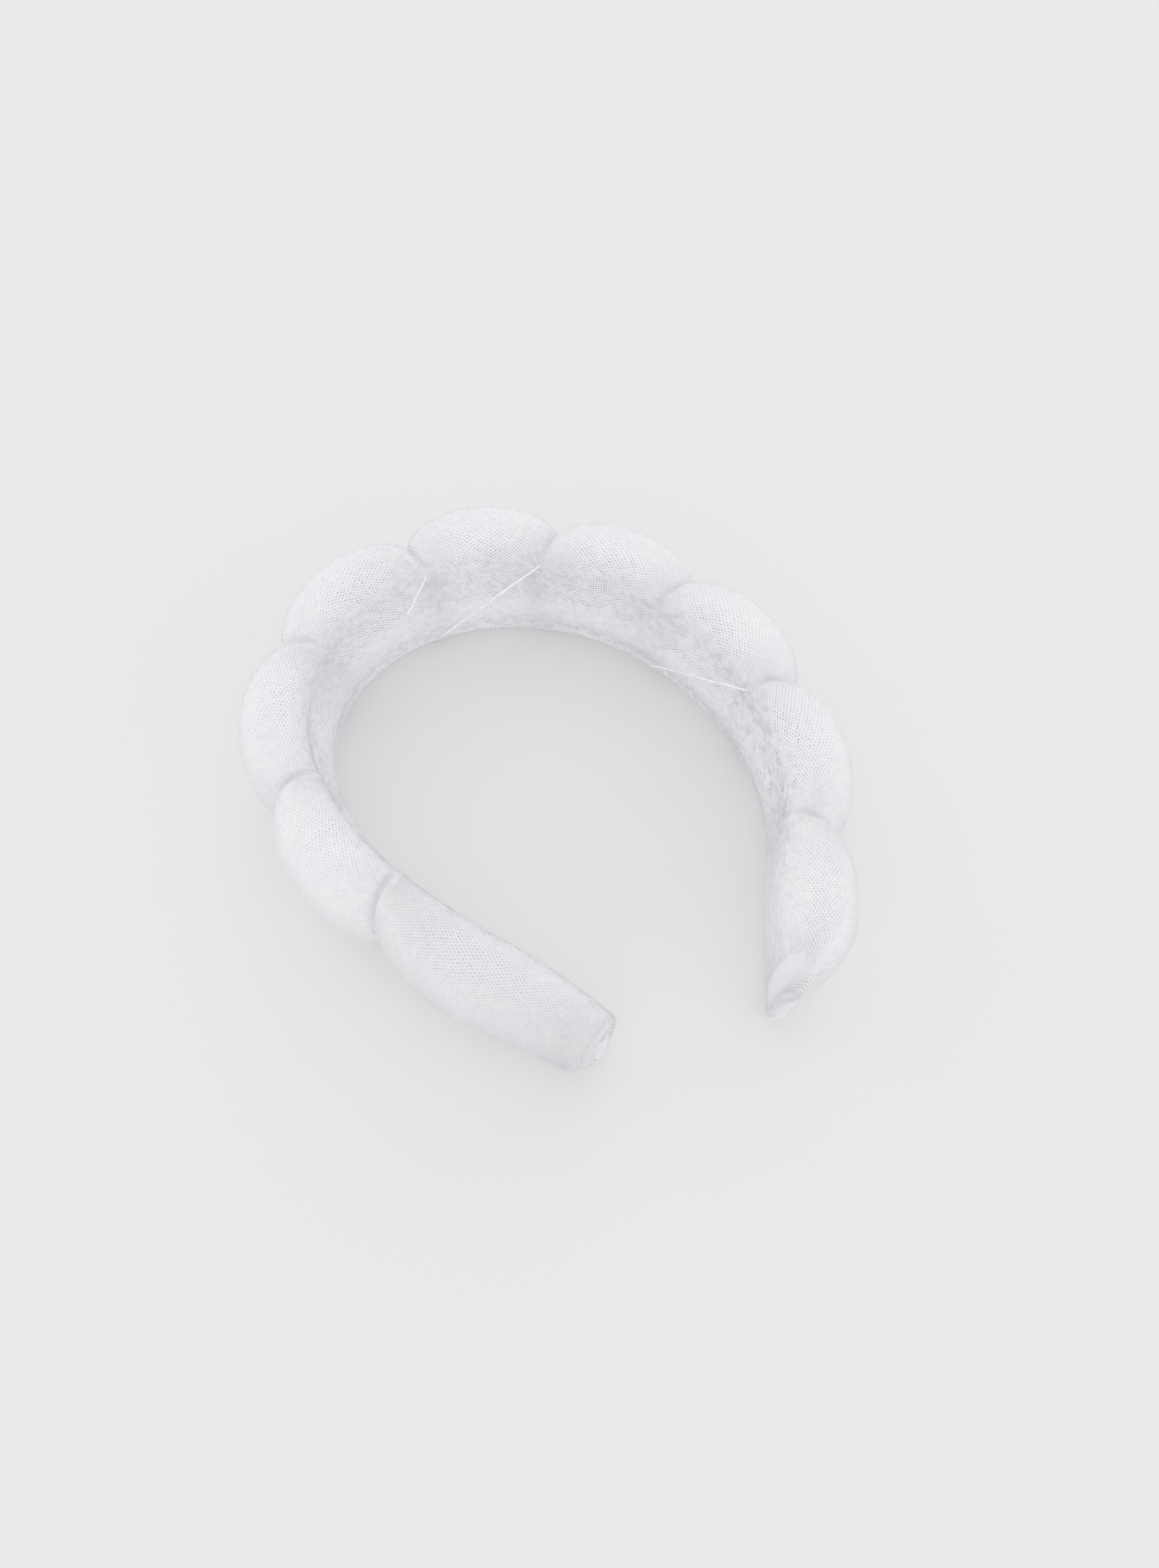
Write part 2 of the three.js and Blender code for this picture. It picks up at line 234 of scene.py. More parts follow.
def pad_surface(s, angles, loosen=0.0):
    """The pad's surface as a grid of points, one row for each s and one column for each angle.
    A loosen above 0 opens the pinches by that share, as if the line drew them in less."""
    s = np.asarray(s, float)
    thickness, depth, middle, full = section_at(s)
    lobe = np.clip(np.searchsorted(edges, s, side="right") - 1, 0, LOBES - 1)
    thickness = thickness + np.array(EXTRA_STUFFING)[lobe] * full
    thickness = mix(thickness, np.maximum(thickness, LOBE_THICKNESS), loosen)[:, None]
    depth = mix(depth, np.maximum(depth, LOBE_DEPTH), loosen)[:, None]
    cosine, sine = np.cos(angles)[None, :], np.sin(angles)[None, :]
    outer_corners = mix(PINCH_CORNERS, LOBE_CORNERS, full)[:, None]
    exponent = np.where(cosine > 0, outer_corners, INNER_CORNERS)
    across = (squarish(cosine, exponent) + 1) / 2
    drawn_in = (LOBE_DEPTH - PINCH_DEPTH) * (1 - full)[:, None]
    depth = depth + drawn_in * HELD_OUT_INSIDE * (1 - across)
    height = squarish(sine, exponent) * depth / 2
    out = thickness * across
    from_tip = np.minimum(s, edges[-1] - s) / DIPS_FADE_IN
    end_nearness = (np.clip(from_tip, 0, 1) ** 2)[:, None]
    on_inner_side = np.clip(1 - across / DIPS_REACH_OUT, 0, 1)
    for dip in (UPPER_DIP, LOWER_DIP):
        shape = np.exp(-(((height - dip["height"]) / dip["width"]) ** 2))
        out = out + dip["depth"] * shape * on_inner_side * end_nearness
    on_right_arm = np.clip((s - edges[-3]) / MIDDLE_LOBE_LENGTH, 0, 1)[:, None]
    out = out + RIGHT_SET_BACK * on_right_arm * (1 - across)
    z = np.maximum(middle[:, None] + height, 0)
    lean = np.interp(s, edges, [0.0, *PINCH_LEANS, 0.0])[:, None]
    along = np.clip(s[:, None] - lean * cosine, edges[0], edges[-1])
    points = band_points(along.ravel(), out.ravel(), z.ravel())
    return points.reshape(*out.shape, 3)


# ---- Rows and columns of the sleeve's grid ----

COARSE_COLUMNS = 60
COARSE_ROWS_PER_LOBE = 16
CROWDING = 0.06


def coarse_rows():
    """Distances along the hoop, crowded a little towards each pinch, and each lobe's middle row."""
    rows = [0.0]
    middles = []
    for lobe in range(LOBES):
        even_count = COARSE_ROWS_PER_LOBE * lobe_lengths[lobe] / MIDDLE_LOBE_LENGTH
        count = 2 * int(round(even_count / 2))
        share = np.arange(1, count + 1) / count
        crowded = share - CROWDING * np.sin(2 * np.pi * share)
        middles.append(len(rows) - 1 + count // 2)
        rows += list(edges[lobe] + lobe_lengths[lobe] * crowded)
    return np.array(rows), middles


# ---- Meshes ----


def new_object(name, points, faces):
    """A smooth-shaded mesh object in the scene."""
    mesh = bpy.data.meshes.new(name)
    mesh.from_pydata([tuple(p) for p in points], [], [tuple(f) for f in faces])
    mesh.polygons.foreach_set("use_smooth", [True] * len(mesh.polygons))
    mesh.update()
    obj = bpy.data.objects.new(name, mesh)
    bpy.context.scene.collection.objects.link(obj)
    return obj


def grid_faces(rows, columns):
    """Quads of a grid that closes on itself across its columns, facing out."""
    here = np.arange(rows * columns).reshape(rows, columns)
    beside = np.roll(here, -1, axis=1)
    quads = [here[:-1], beside[:-1], beside[1:], here[1:]]
    return np.stack([q.ravel() for q in quads], 1)


def refine(grid, along, around):
    """A smooth Catmull-Rom refinement of a grid of points, closed across its columns."""

    def steps(points, times):
        blends = []
        for t in np.arange(times) / times:
            weights = (
                0.5 * (-t + 2 * t**2 - t**3),
                0.5 * (2 - 5 * t**2 + 3 * t**3),
                0.5 * (t + 4 * t**2 - 3 * t**3),
                0.5 * (-(t**2) + t**3),
            )
            blends.append(sum(w * p for w, p in zip(weights, points)))
        return blends

    rolled = [np.roll(grid, shift, axis=1) for shift in (1, 0, -1, -2)]
    wide = np.stack(steps(rolled, around), 2).reshape(grid.shape[0], -1, grid.shape[2])
    padded = np.concatenate([2 * wide[:1] - wide[1:2], wide, 2 * wide[-1:] - wide[-2:-1]])
    shifted = [padded[:-3], padded[1:-2], padded[2:-1], padded[3:]]
    tall = np.stack(steps(shifted, along), 1).reshape(-1, wide.shape[1], grid.shape[2])
    return np.concatenate([tall, wide[-1:]])


def grid_normals(grid):
    """Outward normals of a grid of points."""
    around = np.roll(grid, -1, axis=1) - np.roll(grid, 1, axis=1)
    along = np.gradient(grid, axis=0)
    normal = np.cross(around, along)
    return normal / np.maximum(np.linalg.norm(normal, axis=2, keepdims=True), 1e-12)


# ---- Cloth: the pressed pad swells between its pinches ----

CLOTH_FRAMES = 20
CLOTH_PRESSURE = 4.0
CLOTH_LOOSEN = 0.45
CLOTH_REACH = 4 * MM  # the farthest that the pad pushes a point

# How firmly the sleeve is held by the line, over the hoop and where it lies on the floor.
LINE_GRIP_REACH = 1.6 * MM
HOOP_GRIP, FLOOR_GRIP = 0.85, 0.9
HOOP_ANGLE_COSINE, HOOP_ANGLE_SINE = -0.5, 0.62
LYING_HEIGHT = 0.2 * MM
LEAST_GRIP = 0.02


def even_angles():
    """Angles that space the columns evenly round the full section, as a knit's loops are."""
    dense = np.linspace(0, 2 * np.pi, 20 * COARSE_COLUMNS + 1)
    ring = pad_surface([edges[1] + MIDDLE_LOBE_LENGTH / 2], dense)[0]
    steps = np.linalg.norm(np.diff(ring, axis=0), axis=1)
    way = np.concatenate([[0], np.cumsum(steps)]) / steps.sum()
    return np.interp(np.arange(COARSE_COLUMNS) / COARSE_COLUMNS, way, dense)


def grip(start, s_rows, angles):
    """How firmly each point of the sleeve is held in place, from 0 to 1."""
    held = np.zeros(start.shape[:2])
    for edge in edges:
        nearness = np.exp(-(((s_rows - edge) / LINE_GRIP_REACH) ** 2))
        held = np.maximum(held, nearness[:, None])
    over_hoop = (np.cos(angles) < HOOP_ANGLE_COSINE) & (np.abs(np.sin(angles)) < HOOP_ANGLE_SINE)
    held[:, over_hoop] = np.maximum(held[:, over_hoop], HOOP_GRIP)
    lying = start[:, :, 2] <= LYING_HEIGHT
    held[lying] = np.maximum(held[lying], FLOOR_GRIP)
    return held


def swell(s_rows, angles):
    """The sleeve's grid of points after the pad inside has pushed it out between the pinches."""
    start = pad_surface(s_rows, angles)
    loose = pad_surface(s_rows, angles, loosen=CLOTH_LOOSEN)
    rows, columns = start.shape[:2]
    faces = list(grid_faces(rows, columns))
    faces.append(np.arange(columns)[::-1])
    faces.append(np.arange((rows - 1) * columns, rows * columns))
    obj = new_object("swelling_sleeve", start.reshape(-1, 3), faces)
    obj.shape_key_add(name="start")
    cut = obj.shape_key_add(name="cut")
    cut.data.foreach_set("co", loose.ravel())
    cut.value = 0.0

    group = obj.vertex_groups.new(name="held")
    for index, weight in enumerate(grip(start, s_rows, angles).ravel()):
        if weight > LEAST_GRIP:
            group.add([index], float(min(weight, 1)), "REPLACE")

    modifier = obj.modifiers.new("swell", "CLOTH")
    cloth = modifier.settings
    cloth.quality = 6
    cloth.mass = 0.25
    cloth.tension_stiffness = 12
    cloth.compression_stiffness = 12
    cloth.shear_stiffness = 6
    cloth.bending_stiffness = 0.4
    cloth.air_damping = 2
    cloth.use_pressure = True
    cloth.uniform_pressure_force = CLOTH_PRESSURE
    cloth.effector_weights.gravity = 0
    cloth.vertex_group_mass = "held"
    cloth.pin_stiffness = 1.0
    cloth.rest_shape_key = cut
    modifier.collision_settings.use_collision = False
    modifier.point_cache.frame_start = 1
    modifier.point_cache.frame_end = CLOTH_FRAMES
    scene = bpy.context.scene
    for step in range(1, CLOTH_FRAMES + 1):
        scene.frame_set(step)
    evaluated = obj.evaluated_get(bpy.context.evaluated_depsgraph_get())
    swollen = np.zeros(rows * columns * 3)
    evaluated.data.vertices.foreach_get("co", swollen)
    swollen = swollen.reshape(rows, columns, 3)
    scene.frame_set(1)
    bpy.data.objects.remove(obj)

    move = swollen - start
    length = np.linalg.norm(move, axis=2, keepdims=True)
    move *= np.minimum(1, CLOTH_REACH / np.maximum(length, 1e-9))
    result = start + move
    result[:, :, 2] = np.maximum(result[:, :, 2], 0)
    return result


# ---- Materials ----

# Sockets that share their names with others: a colour Mix node's, and a Map Range node's limits.
MIX_FACTOR, MIX_A, MIX_B, MIX_RESULT = 0, 6, 7, 2
RAMP_OUT_LOW, RAMP_OUT_HIGH = 3, 4


class Nodes:
    """A material and short ways to add shader nodes to it."""

    def __init__(self, name):
        self.material = bpy.data.materials.new(name)
        self.material.use_nodes = True
        self.tree = self.material.node_tree
        self.shader = self.tree.nodes["Principled BSDF"]

    def add(self, kind, settings=None, **inputs):
        """A new node. An input is given by its name, or as i and its number."""
        node = self.tree.nodes.new(kind)
        for key, value in (settings or {}).items():
            setattr(node, key, value)
        for key, value in inputs.items():
            socket = int(key[1:]) if key[1:].isdigit() else key
            self.put(value, node.inputs[socket])
        return node

    def put(self, value, socket):
        """Links a socket to another node's output, or sets it to a constant."""
        if isinstance(value, bpy.types.NodeSocket):
            self.tree.links.new(value, socket)
        else:
            socket.default_value = value

    def math(self, operation, a, b=0.0, c=0.0):
        """A sum of the given kind on up to three values."""
        node = self.add("ShaderNodeMath", {"operation": operation}, i0=a, i1=b, i2=c)
        return node.outputs[0]

    def ramp(self, value, low, high, out_low=0.0, out_high=1.0):
        """A smooth step from out_low to out_high as the value goes from low to high."""
        smooth = {"interpolation_type": "SMOOTHSTEP"}
        node = self.add("ShaderNodeMapRange", smooth, i0=value, i1=low, i2=high)
        node.inputs[RAMP_OUT_LOW].default_value = out_low
        node.inputs[RAMP_OUT_HIGH].default_value = out_high
        return node.outputs[0]

    def noise(self, vector, scale, detail=2.0, roughness=0.5):
        """Noise from 0 to 1 whose grains are about 1 / scale across."""
        settings = dict(Vector=vector, Scale=scale, Detail=detail, Roughness=roughness)
        return self.add("ShaderNodeTexNoise", **settings).outputs["Fac"]

    def mix_colour(self, share, a, b):
        """Colour a, with this share of colour b."""
        node = self.add("ShaderNodeMix", {"data_type": "RGBA"})
        self.put(share, node.inputs[MIX_FACTOR])
        self.put(a, node.inputs[MIX_A])
        self.put(b, node.inputs[MIX_B])
        return node.outputs[MIX_RESULT]

    def bump(self, height, strength, distance):
        """Roughens the shader's surface with a height."""
        node = self.add("ShaderNodeBump", Height=height, Strength=strength, Distance=distance)
        self.put(node.outputs["Normal"], self.shader.inputs["Normal"])


def srgb(r, g, b):
    """A linear colour from screen values."""
    return tuple(((v / 255 + 0.055) / 1.055) ** 2.4 for v in (r, g, b)) + (1.0,)


TERRY_WHITE, TERRY_LILAC = srgb(252, 250, 252), srgb(250, 247, 253)
# Painted shade on the left arm, which gets less light than the crown.
LEFT_ARM_PAINTED_SHADE = srgb(222, 219, 224)
# The stretched knit's bluer tint, which also paints the shade in the dips of the inner face.
STRETCHED_TERRY_AND_DIP_SHADE = srgb(216, 217, 236)
# Painted shade in the pits between the loops.
PIT_PAINTED_SHADE = srgb(70, 64, 112)
# Painted shade at the bottoms of the pinches' creases.
CREASE_PAINTED_SHADE = srgb(168, 164, 190)
FIBRE_WHITE = srgb(253, 253, 254)

# Zones round the sleeve: what they shape grows from the first distance to the second.
ABOVE_DIP, UNDER_DIP = (-22 * MM, -1 * MM), (11 * MM, 4 * MM)
ROUND_LOWER_STRETCH_AND_SHADE = (9 * MM, 3 * MM)
INSIDE_OF_SLEEVE = (52 * MM, 28 * MM)
BESIDE_HOOP = (14 * MM, 26 * MM)

# Zones along the band, as shares of the way from its middle to a tip, or of all its rows.
ARMS, OFF_TIPS = (0.5, 0.8), (0.9, 0.6)
LEFT_ARM_ROWS = (0.22, 0.12)

# How fine the noises are, in grains per metre.
STRAY_SCALE, PIT_SCALE, PATCH_SCALE, FIBRE_SCALE = 420.0, 700.0, 90.0, 4200.0

# Lengths in the knit are counted in loops, and heights in its relief go from -1 to 1.
LOOP_WANDER = 1.3
STREAK_ALONG, STREAK_ACROSS = 0.05, 0.17
PIT_EDGE, PIT_BOTTOM = -0.3, -0.75
CREASE_REACH = 4.5

# How open the pits are where the knit is slack, and how much more on the arms, which sets how much
# painted shade their pits get.
SLACK_OPENNESS, ARM_OPENNESS = 0.4, 0.16

# How much of each colour goes over the terry's own white, at most: painted shade on the left arm, the
# stretched knit's tint with painted shade in the dips, white fibre tips, and painted shade in the
# creases.
LEFT_ARM_PAINTED_SHADE_SHARE, STRETCHED_AND_DIP_SHADE_SHARE, FIBRE_SHARE, CREASE_SHARE = 0.3, 0.15, 0.15, 0.28


def round_ramp(nodes, columns, zone, out_low=0.0, out_high=1.0):
    """A ramp across a zone round the sleeve, from a value that counts columns of loops."""
    low, high = (distance * COLUMNS_PER_METRE for distance in zone)
    return nodes.ramp(columns, low, high, out_low, out_high)


def distance_to(nodes, value, place):
    return nodes.math("ABSOLUTE", nodes.math("SUBTRACT", value, place))


def knit_relief(nodes, knit, position):
    """The knit's height, from -1 in the pits to 1 on the loops, in a staggered pattern."""
    noise = nodes.add("ShaderNodeTexNoise", Vector=position, Scale=STRAY_SCALE, Detail=2.0)
    uneven = nodes.add("ShaderNodeVectorMath", {"operation": "MULTIPLY_ADD"}, i0=noise.outputs["Color"])
    nodes.put((LOOP_WANDER, LOOP_WANDER, 0), uneven.inputs[1])
    nodes.put(knit, uneven.inputs[2])
    loops = nodes.add("ShaderNodeSeparateXYZ", Vector=uneven.outputs[0]).outputs
    along = nodes.math("COSINE", nodes.math("MULTIPLY", loops["X"], math.pi))
    around = nodes.math("COSINE", nodes.math("MULTIPLY", loops["Y"], math.pi))
    return nodes.math("MULTIPLY", along, around)


def knit_stretch_and_dip_shade(nodes, row, column, to_tip):
    """How far the knit is stretched, and where painted shade darkens the dips of the inner face: most in
    the upper dip, less near the bottom of the inner face, and not at the tips. Diagonal streaks run
    through it."""
    from_dip = nodes.math("SUBTRACT", column, STRETCH_AND_SHADE_COLUMN)
    above_dip = round_ramp(nodes, from_dip, ABOVE_DIP)
    under_dip = round_ramp(nodes, from_dip, UNDER_DIP, 0.3, 1.0)
    upper = nodes.math("MULTIPLY", above_dip, under_dip)
    from_lower = distance_to(nodes, column, LOWER_STRETCH_AND_SHADE_COLUMN)
    lower = round_ramp(nodes, from_lower, ROUND_LOWER_STRETCH_AND_SHADE, 0.0, 0.6)
    stretch_and_dip_shade = nodes.math("MAXIMUM", upper, lower)
    stretch_and_dip_shade = nodes.math("MULTIPLY", stretch_and_dip_shade, nodes.ramp(to_tip, *OFF_TIPS))

    diagonal = nodes.add("ShaderNodeCombineXYZ")
    rising, falling = nodes.math("ADD", row, column), nodes.math("SUBTRACT", row, column)
    nodes.put(nodes.math("MULTIPLY", rising, STREAK_ALONG), diagonal.inputs["X"])
    nodes.put(nodes.math("MULTIPLY", falling, STREAK_ACROSS), diagonal.inputs["Y"])
    streaks = nodes.ramp(nodes.noise(diagonal.outputs[0], 1.0), 0.35, 0.65, 0.65, 1.15)
    return nodes.math("MULTIPLY", stretch_and_dip_shade, streaks)


def creases(nodes, row, from_hoop):
    """Painted shade at the bottoms of the pinches' creases, where little light reaches, outside the
    hoop.
    """
    from_first = nodes.math("SUBTRACT", row, FIRST_PINCH_ROW)
    nearest = nodes.math("ROUND", nodes.math("DIVIDE", from_first, ROWS_PER_LOBE))
    nearest = nodes.math("MINIMUM", nodes.math("MAXIMUM", nearest, 0.0), LOBES - 2.0)
    from_pinch = nodes.math("ABSOLUTE", nodes.math("MULTIPLY_ADD", nearest, -ROWS_PER_LOBE, from_first))
    in_crease = nodes.ramp(from_pinch, CREASE_REACH, 0.0, 0.0, CREASE_SHARE)
    return nodes.math("MULTIPLY", in_crease, round_ramp(nodes, from_hoop, BESIDE_HOOP))


def terry_material():
    """White looped knit: staggered pits between the loops, open where the hoop stretches the sleeve,
    with painted shade in the pits, in the dips of the inner face, in the creases and on the left arm.
    The Knit UV counts the knit's loops: rows of them along the band, and columns round it."""
    nodes = Nodes("terry")
    shader = nodes.shader
    position = nodes.add("ShaderNodeTexCoord").outputs["Object"]
    knit = nodes.add("ShaderNodeUVMap", {"uv_map": "Knit"}).outputs["UV"]
    place = nodes.add("ShaderNodeSeparateXYZ", Vector=knit).outputs
    row, column = place["X"], place["Y"]
    closing_share = 2 * TIP_RINGS / FINE_ROWS
    from_middle = nodes.math("MULTIPLY_ADD", row, 2 / FINE_ROWS, -1 - closing_share)
    to_tip = nodes.math("ABSOLUTE", from_middle)
    from_hoop = distance_to(nodes, column, FINE_COLUMNS / 2)

    relief = knit_relief(nodes, knit, position)
    stretch_and_dip_shade = knit_stretch_and_dip_shade(nodes, row, column, to_tip)
    fibres = nodes.noise(position, FIBRE_SCALE, 3.0, 0.6)

    on_arms = nodes.ramp(to_tip, *ARMS)
    on_inside = round_ramp(nodes, from_hoop, INSIDE_OF_SLEEVE, 0.35, 1.0)
    closing = nodes.ramp(to_tip, 1 + closing_share, 1.0, 0.8)
    slack = nodes.math("MULTIPLY_ADD", on_arms, ARM_OPENNESS, SLACK_OPENNESS)
    pit_openness_and_shade = nodes.math("MULTIPLY", nodes.math("ADD", stretch_and_dip_shade, slack), on_inside)
    pit_openness_and_shade = nodes.math("MULTIPLY", pit_openness_and_shade, closing)
    # Painted shade in the pits: deeper where the knit is open, on the inside of the sleeve and in the
    # dips.
    uneven = nodes.ramp(nodes.noise(position, PIT_SCALE), 0.3, 0.7, 0.4, 1.0)
    pit = nodes.math("MULTIPLY", nodes.ramp(relief, PIT_EDGE, PIT_BOTTOM), uneven)
    depth = nodes.math("MULTIPLY", pit, pit_openness_and_shade)

    patches = nodes.ramp(nodes.noise(position, PATCH_SCALE), 0.35, 0.65)
    colour = nodes.mix_colour(patches, TERRY_WHITE, TERRY_LILAC)
    # Painted shade: the left arm is greyed, as less light reaches it than the crown.
    on_left_arm = nodes.ramp(row, *(share * FINE_ROWS for share in LEFT_ARM_ROWS))
    left_arm_shade = nodes.math("MULTIPLY", on_left_arm, LEFT_ARM_PAINTED_SHADE_SHARE)
    colour = nodes.mix_colour(left_arm_shade, colour, LEFT_ARM_PAINTED_SHADE)
    # The stretched knit's tint, with painted shade in the dips of the inner face.
    stretched_tint_and_dip_shade = nodes.math("MULTIPLY", stretch_and_dip_shade, STRETCHED_AND_DIP_SHADE_SHARE)
    colour = nodes.mix_colour(stretched_tint_and_dip_shade, colour, STRETCHED_TERRY_AND_DIP_SHADE)
    colour = nodes.mix_colour(depth, colour, PIT_PAINTED_SHADE)
    # Painted shade in the pinches' creases.
    colour = nodes.mix_colour(creases(nodes, row, from_hoop), colour, CREASE_PAINTED_SHADE)
    colour = nodes.mix_colour(nodes.math("MULTIPLY", fibres, FIBRE_SHARE), colour, FIBRE_WHITE)
    nodes.put(colour, shader.inputs["Base Color"])
    nodes.put(nodes.math("MULTIPLY_ADD", fibres, 0.15, 0.82), shader.inputs["Roughness"])
    shader.inputs["Specular IOR Level"].default_value = 0.2
    shader.inputs["Diffuse Roughness"].default_value = 1.0
    shader.inputs["Sheen Weight"].default_value = 0.1
    shader.inputs["Sheen Roughness"].default_value = 0.5

    height = nodes.math("MULTIPLY_ADD", relief, 0.35, nodes.math("MULTIPLY", fibres, 0.5))
    nodes.bump(height, strength=0.8, distance=0.45 * MM)
    return nodes.material


def nylon_material():
    """Clear, glossy line with faint uneven gloss and a faint painted glow for the light it catches."""
    nodes = Nodes("nylon")
    shader = nodes.shader
    position = nodes.add("ShaderNodeTexCoord").outputs["Object"]
    streaks = nodes.noise(position, 900.0)
    colour = nodes.mix_colour(streaks, srgb(249, 249, 252), srgb(254, 254, 255))
    nodes.put(colour, shader.inputs["Base Color"])
    nodes.put(nodes.math("MULTIPLY_ADD", streaks, 0.15, 0.12), shader.inputs["Roughness"])
    shader.inputs["IOR"].default_value = 1.53
    # A faint painted glow: part of the line's brightness is emitted, not lit.
    shader.inputs["Emission Color"].default_value = (1.0, 1.0, 1.0, 1.0)
    shader.inputs["Emission Strength"].default_value = 0.03
    shader.inputs["Subsurface Weight"].default_value = 0.8
    shader.inputs["Subsurface Radius"].default_value = (1.0, 1.0, 1.0)
    shader.inputs["Subsurface Scale"].default_value = 1.0 * MM
    return nodes.material


def plastic_material():
    """Satin moulded plastic with fine mould grain."""
    nodes = Nodes("hoop_plastic")
    shader = nodes.shader
    position = nodes.add("ShaderNodeTexCoord").outputs["Object"]
    grain = nodes.noise(position, 1500.0, 3.0)
    colour = nodes.mix_colour(grain, srgb(240, 240, 238), srgb(247, 247, 246))
    nodes.put(colour, shader.inputs["Base Color"])
    nodes.put(nodes.math("MULTIPLY_ADD", grain, 0.2, 0.35), shader.inputs["Roughness"])
    nodes.bump(grain, strength=0.15, distance=0.1 * MM)
    return nodes.material


def thread_material():
    """Matt twisted sewing thread."""
    nodes = Nodes("sewing_thread")
    shader = nodes.shader
    position = nodes.add("ShaderNodeTexCoord").outputs["Object"]
    wave = nodes.add("ShaderNodeTexWave", Vector=position, Scale=900.0, Distortion=2.0)
    twist = wave.outputs["Fac"]
    colour = nodes.mix_colour(twist, srgb(222, 221, 230), srgb(242, 241, 246))
    nodes.put(colour, shader.inputs["Base Color"])
    shader.inputs["Roughness"].default_value = 0.75
    nodes.bump(twist, strength=0.5, distance=0.08 * MM)
    return nodes.material


# ---- The sleeve ----

REFINE_ALONG = 4
REFINE_AROUND = 4
s_rows, middle_rows = coarse_rows()
FINE_ROWS = (len(s_rows) - 1) * REFINE_ALONG
FINE_COLUMNS = COARSE_COLUMNS * REFINE_AROUND
ROWS_PER_LOBE = COARSE_ROWS_PER_LOBE * REFINE_ALONG
COLUMNS_PER_METRE = FINE_COLUMNS / SLEEVE_GIRTH

# The gathers start beside the line, fade out along the band, and fade out towards the inner face.
GATHER_DEPTH = 0.3 * MM
GATHER_START, GATHER_REACH = 1.2 * MM, 5.0 * MM
GATHER_INNER_FADE = 0.6
GATHER_WAVES = [23, 31, 41, 52]

SEAM_TURN = math.radians(222)
SEAM_DEPTH, SEAM_WIDTH = 0.6 * MM, 0.5 * MM
SEAM_RIDGE_OFFSET, SEAM_RIDGE_WIDTH = 1.2 * MM, 0.6 * MM
SEAM_RIDGE_SHARE = 0.3

KNIT_RELIEF = 0.11 * MM

# Each tip closes over a few rings, which narrow to a slit that is never quite shut and grow a
# little shorter; the last two values are exponents.
TIP_RINGS = 8
SLIT_SHARE = 0.8
SLIT_GAP = 0.02
NARROWING, SHORTENING = 0.55, 4


def gathers(s, turns):
    """How far the sleeve stands out beside the pinches, in ridges that run away from the line."""
    random = np.random.default_rng(7)
    depth = np.zeros((len(s), len(turns)))
    outside = np.clip((np.cos(turns) + GATHER_INNER_FADE) / GATHER_INNER_FADE, 0, 1)
    for edge in edges[1:-1]:
        away = s - edge
        clear_of_line = 1 - np.exp(-((away / GATHER_START) ** 2))
        nearness = np.exp(-np.abs(away) / GATHER_REACH) * clear_of_line
        for side in (-1, 1):
            waves = [np.sin(count * turns + random.uniform(0, 2 * np.pi)) for count in GATHER_WAVES]
            ridges = sum(waves) / len(waves)
            here = nearness * (away * side > 0)
            depth += here[:, None] * (ridges * outside)[None, :]
    return depth * GATHER_DEPTH


def seam(turns):
    """The sewn seam's narrow furrow along the sleeve, between two slight ridges."""
    away = np.abs(turns - SEAM_TURN) * SLEEVE_GIRTH / (2 * np.pi)
    furrow = np.exp(-((away / SEAM_WIDTH) ** 2))
    ridges = np.exp(-(((away - SEAM_RIDGE_OFFSET) / SEAM_RIDGE_WIDTH) ** 2))
    return SEAM_DEPTH * (SEAM_RIDGE_SHARE * ridges - furrow)


def close_tip(ring, direction, outward):
    """Rings that close the sleeve's last ring with a shallow dome, down to an upright slit."""
    middle = (ring.max(axis=0) + ring.min(axis=0)) / 2
    offset = ring - middle
    sideways = (offset @ outward)[:, None] * outward
    upright = offset * (0, 0, 1)
    rings = []
    for step in range(1, TIP_RINGS + 1):
        turn = step / (TIP_RINGS + SLIT_GAP) * np.pi / 2
        narrow = np.cos(turn) ** NARROWING
        shorten = mix(1, SLIT_SHARE, np.sin(turn) ** SHORTENING)
        dome = direction * TIP_BULGE * np.sin(turn)
        rings.append(middle + sideways * narrow + upright * shorten + dome)
    return np.array(rings)


angles = even_angles()
sheet = refine(swell(s_rows, angles), REFINE_ALONG, REFINE_AROUND)
fine_s = np.interp(np.arange(FINE_ROWS + 1), np.arange(len(s_rows)) * REFINE_ALONG, s_rows)
whole_turn = [*angles, 2 * np.pi]
fine_turns = np.interp(np.arange(FINE_COLUMNS) / REFINE_AROUND, np.arange(len(whole_turn)), whole_turn)
folds = gathers(fine_s, fine_turns) + seam(fine_turns)[None, :]
smooth_sheet = sheet + grid_normals(sheet) * folds[:, :, None]
smooth_sheet[:, :, 2] = np.maximum(smooth_sheet[:, :, 2], 0)

# At each tip, the direction that leaves the band, and the direction outwards.
TIP_DIRECTIONS = {}
for side, s_end, sign in (("left", 0.0, -1), ("right", edges[-1], 1)):
    _, forward, outward = hoop_at(s_end)
    TIP_DIRECTIONS[side] = (np.append(sign * forward[0], 0), np.append(outward[0], 0))
first_rings = close_tip(smooth_sheet[0], *TIP_DIRECTIONS["left"])[::-1]
last_rings = close_tip(smooth_sheet[-1], *TIP_DIRECTIONS["right"])
sheet = np.concatenate([first_rings, smooth_sheet, last_rings])
normals = grid_normals(sheet)

# The knit's loops: every other point stands out and the rest are sunk, less so towards the slits.
checks = np.indices(sheet.shape[:2]).sum(axis=0) % 2 * 2 - 1
row_numbers = np.arange(len(sheet))[:, None]
rows_from_slit = np.minimum(row_numbers, row_numbers[::-1])
knit_heights = KNIT_RELIEF * checks * np.clip(rows_from_slit / TIP_RINGS, 0, 1)
sheet = sheet + normals * knit_heights[:, :, None]
sheet[:, :, 2] = np.maximum(sheet[:, :, 2], 0)


